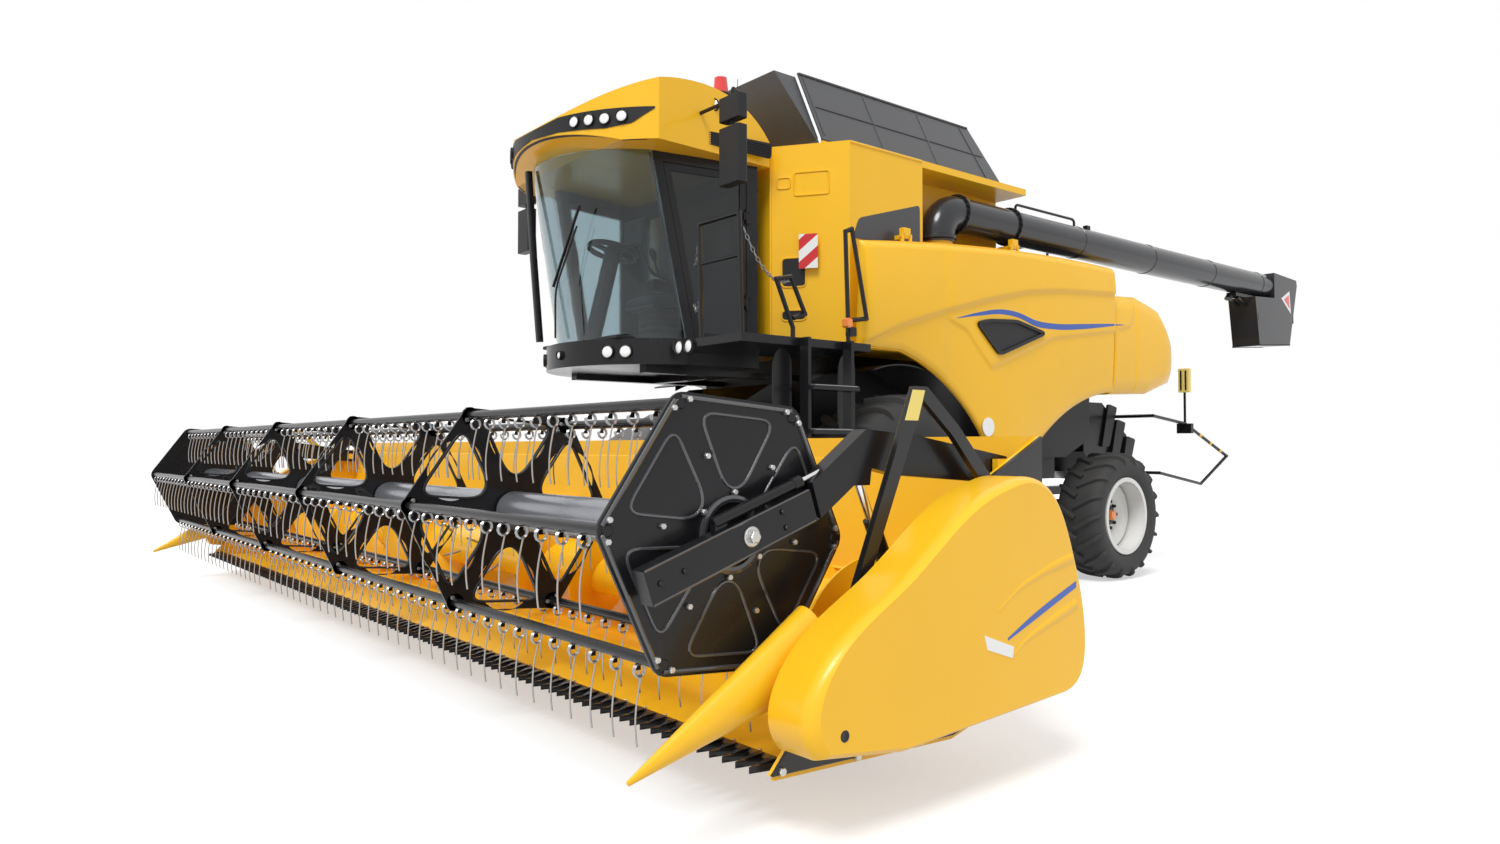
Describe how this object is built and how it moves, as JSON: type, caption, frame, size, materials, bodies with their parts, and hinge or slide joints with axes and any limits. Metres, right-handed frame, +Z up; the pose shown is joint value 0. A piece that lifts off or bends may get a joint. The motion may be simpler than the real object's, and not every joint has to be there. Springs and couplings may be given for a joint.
{
  "type": "combine harvester",
  "caption": "Combine harvester with a wide grain header and reel, raised tank covers and a folded unloading auger.",
  "frame": {"origin": "on the ground under the middle of the whole machine's length and width", "axes": "+Z up, +Y from the header back to the tail, +X to the machine's left side, where the ladder is"},
  "size_m": [9.494, 12.4002, 4.4968],
  "materials": {
    "body_yellow": "satin",
    "cover_grey": "satin",
    "frame_black": "gloss",
    "tube_grey": "satin",
    "tyre_rubber": "matte",
    "rim_white": "gloss",
    "window_glass": "clear",
    "knife_steel": "worn",
    "rod_chrome": "polished",
    "engine_iron": "rough",
    "seat_cloth": "woven",
    "dark_plastic": "grained",
    "lamp_lens": "clear"
  },
  "bodies": {
    "machine": {"chassis": "frame_black", "front_axle": "frame_black", "rear_axle": "frame_black", "fenders": "frame_black", "separator_body": "tube_grey", "grain_tank": "body_yellow", "engine_block": "engine_iron", "engine_deck": "frame_black", "rear_hood": "body_yellow", "straw_chopper": "frame_black", "tow_hitch": "frame_black", "cab_base": "frame_black", "cab_frame": "frame_black", "cab_windows": "window_glass", "windscreen": "window_glass", "cab_roof": "body_yellow", "operator_seat": "seat_cloth", "steering_column": "dark_plastic", "platform": "frame_black", "ladder": "frame_black", "handrails": "tube_grey", "rear_guards": "frame_black", "mirrors": "dark_plastic", "beacons": "lamp_lens"},
    "front_wheel_left": {"front_rim_left": "rim_white", "front_tyre_left": "tyre_rubber"},
    "front_wheel_right": {"front_rim_right": "rim_white", "front_tyre_right": "tyre_rubber"},
    "steering_left": {"knuckle_left": "frame_black"},
    "steering_right": {"knuckle_right": "frame_black"},
    "rear_wheel_left": {"rear_rim_left": "rim_white", "rear_tyre_left": "tyre_rubber"},
    "rear_wheel_right": {"rear_rim_right": "rim_white", "rear_tyre_right": "tyre_rubber"},
    "unloader": {"unloader_tube": "tube_grey", "unloader_spout": "tube_grey"},
    "cover_left": {"tank_cover_left": "cover_grey"},
    "cover_right": {"tank_cover_right": "cover_grey"},
    "cover_front": {"tank_cover_front": "cover_grey"},
    "cover_rear": {"tank_cover_rear": "cover_grey"},
    "panel_left": {"side_panel_left": "body_yellow"},
    "panel_right": {"side_panel_right": "body_yellow"},
    "door": {"cab_door": "frame_black", "cab_door_glass": "window_glass"},
    "header": {"feeder_house": "body_yellow", "header_frame": "body_yellow", "knife": "knife_steel", "header_shields": "body_yellow", "header_dividers": "body_yellow"},
    "auger": {"header_auger": "body_yellow"},
    "arms": {"reel_arms": "frame_black"},
    "sleeves": {"reel_sleeves": "frame_black"},
    "reel": {"reel_frames": "frame_black", "reel_bars": "frame_black"},
    "header_barrels": {"lift_barrels": "frame_black"},
    "header_rods": {"lift_rods": "rod_chrome"},
    "arm_barrels": {"reel_lift_barrels": "frame_black"},
    "arm_rods": {"reel_lift_rods": "rod_chrome"}
  },
  "joints": [
    {"name": "front_wheel_left_spin", "type": "hinge", "parent": "machine", "child": "front_wheel_left", "pos_m": [1.4, -1.675, 0.9], "axis": [1, 0, 0], "continuous": true},
    {"name": "front_wheel_right_spin", "type": "hinge", "parent": "machine", "child": "front_wheel_right", "pos_m": [-1.4, -1.675, 0.9], "axis": [1, 0, 0], "continuous": true},
    {"name": "steer_left", "type": "hinge", "parent": "machine", "child": "steering_left", "pos_m": [1.12, 1.525, 0.65], "axis": [0, 0, 1], "range_deg": [-35, 35]},
    {"name": "steer_right", "type": "hinge", "parent": "machine", "child": "steering_right", "pos_m": [-1.12, 1.525, 0.65], "axis": [0, 0, 1], "range_deg": [-35, 35]},
    {"name": "rear_wheel_left_spin", "type": "hinge", "parent": "steering_left", "child": "rear_wheel_left", "pos_m": [1.53, 1.525, 0.65], "axis": [1, 0, 0], "continuous": true},
    {"name": "rear_wheel_right_spin", "type": "hinge", "parent": "steering_right", "child": "rear_wheel_right", "pos_m": [-1.53, 1.525, 0.65], "axis": [1, 0, 0], "continuous": true},
    {"name": "unloader_swing", "type": "hinge", "parent": "machine", "child": "unloader", "pos_m": [1.42, -1.055, 3.455], "axis": [0, 0, -1], "range_deg": [0, 105]},
    {"name": "cover_left_fold", "type": "hinge", "parent": "machine", "child": "cover_left", "pos_m": [1.3, -1.125, 3.862], "axis": [0, -1, 0], "range_deg": [0, 64]},
    {"name": "cover_right_fold", "type": "hinge", "parent": "machine", "child": "cover_right", "pos_m": [-1.3, -1.125, 3.862], "axis": [0, 1, 0], "range_deg": [0, 64]},
    {"name": "cover_front_fold", "type": "hinge", "parent": "machine", "child": "cover_front", "pos_m": [0, -2.365, 3.842], "axis": [-1, 0, 0], "range_deg": [0, 109]},
    {"name": "cover_rear_fold", "type": "hinge", "parent": "machine", "child": "cover_rear", "pos_m": [0, 0.115, 3.842], "axis": [1, 0, 0], "range_deg": [0, 74]},
    {"name": "panel_left_lift", "type": "hinge", "parent": "machine", "child": "panel_left", "pos_m": [1.612, -1.675, 3.105], "axis": [0, -0.9975, -0.0706], "range_deg": [0, 50]},
    {"name": "panel_right_lift", "type": "hinge", "parent": "machine", "child": "panel_right", "pos_m": [-1.612, -1.675, 3.105], "axis": [0, 0.9975, 0.0706], "range_deg": [0, 50]},
    {"name": "door_swing", "type": "hinge", "parent": "machine", "child": "door", "pos_m": [0.94358, -2.84049, 2.87], "axis": [0, 0, 1], "range_deg": [0, 80]},
    {"name": "header_lift", "type": "hinge", "parent": "machine", "child": "header", "pos_m": [0, -2.225, 1.62], "axis": [-1, 0, 0], "range_deg": [-2.5, 15]},
    {"name": "header_barrels_turn", "type": "hinge", "parent": "machine", "child": "header_barrels", "pos_m": [0, -1.925, 0.62], "axis": [-1, 0, 0], "range_deg": [-2.2, 12]},
    {"name": "header_rods_slide", "type": "slide", "parent": "header_barrels", "child": "header_rods", "axis": [0, -0.9994, 0.0353], "range_m": [-0.045, 0.26]},
    {"name": "header_auger_spin", "type": "hinge", "parent": "header", "child": "auger", "pos_m": [0, -4.605, 0.58], "axis": [1, 0, 0], "continuous": true},
    {"name": "reel_lift", "type": "hinge", "parent": "header", "child": "arms", "pos_m": [0, -4.275, 1.25], "axis": [-1, 0, 0], "range_deg": [0, 22]},
    {"name": "arm_barrels_turn", "type": "hinge", "parent": "header", "child": "arm_barrels", "pos_m": [0, -4.825, 0.6], "axis": [-1, 0, 0], "range_deg": [0, 12]},
    {"name": "arm_rods_slide", "type": "slide", "parent": "arm_barrels", "child": "arm_rods", "axis": [0, -0.4244, 0.9055], "range_m": [0, 0.3]},
    {"name": "reel_fore_aft", "type": "slide", "parent": "arms", "child": "sleeves", "axis": [0, -0.9472, -0.3206], "range_m": [0, 0.3]},
    {"name": "reel_spin", "type": "hinge", "parent": "sleeves", "child": "reel", "pos_m": [0, -5.675, 1.041], "axis": [1, 0, 0], "continuous": true}
  ],
  "couplings": [
    {"joint": "steer_right", "follows": "steer_left", "ratio": 1},
    {"joint": "header_barrels_turn", "follows": "header_lift", "ratio": 0.764},
    {"joint": "header_rods_slide", "follows": "header_lift", "m_per_rad": 0.9485},
    {"joint": "arm_barrels_turn", "follows": "reel_lift", "ratio": 0.498},
    {"joint": "arm_rods_slide", "follows": "reel_lift", "m_per_rad": 0.745}
  ]
}
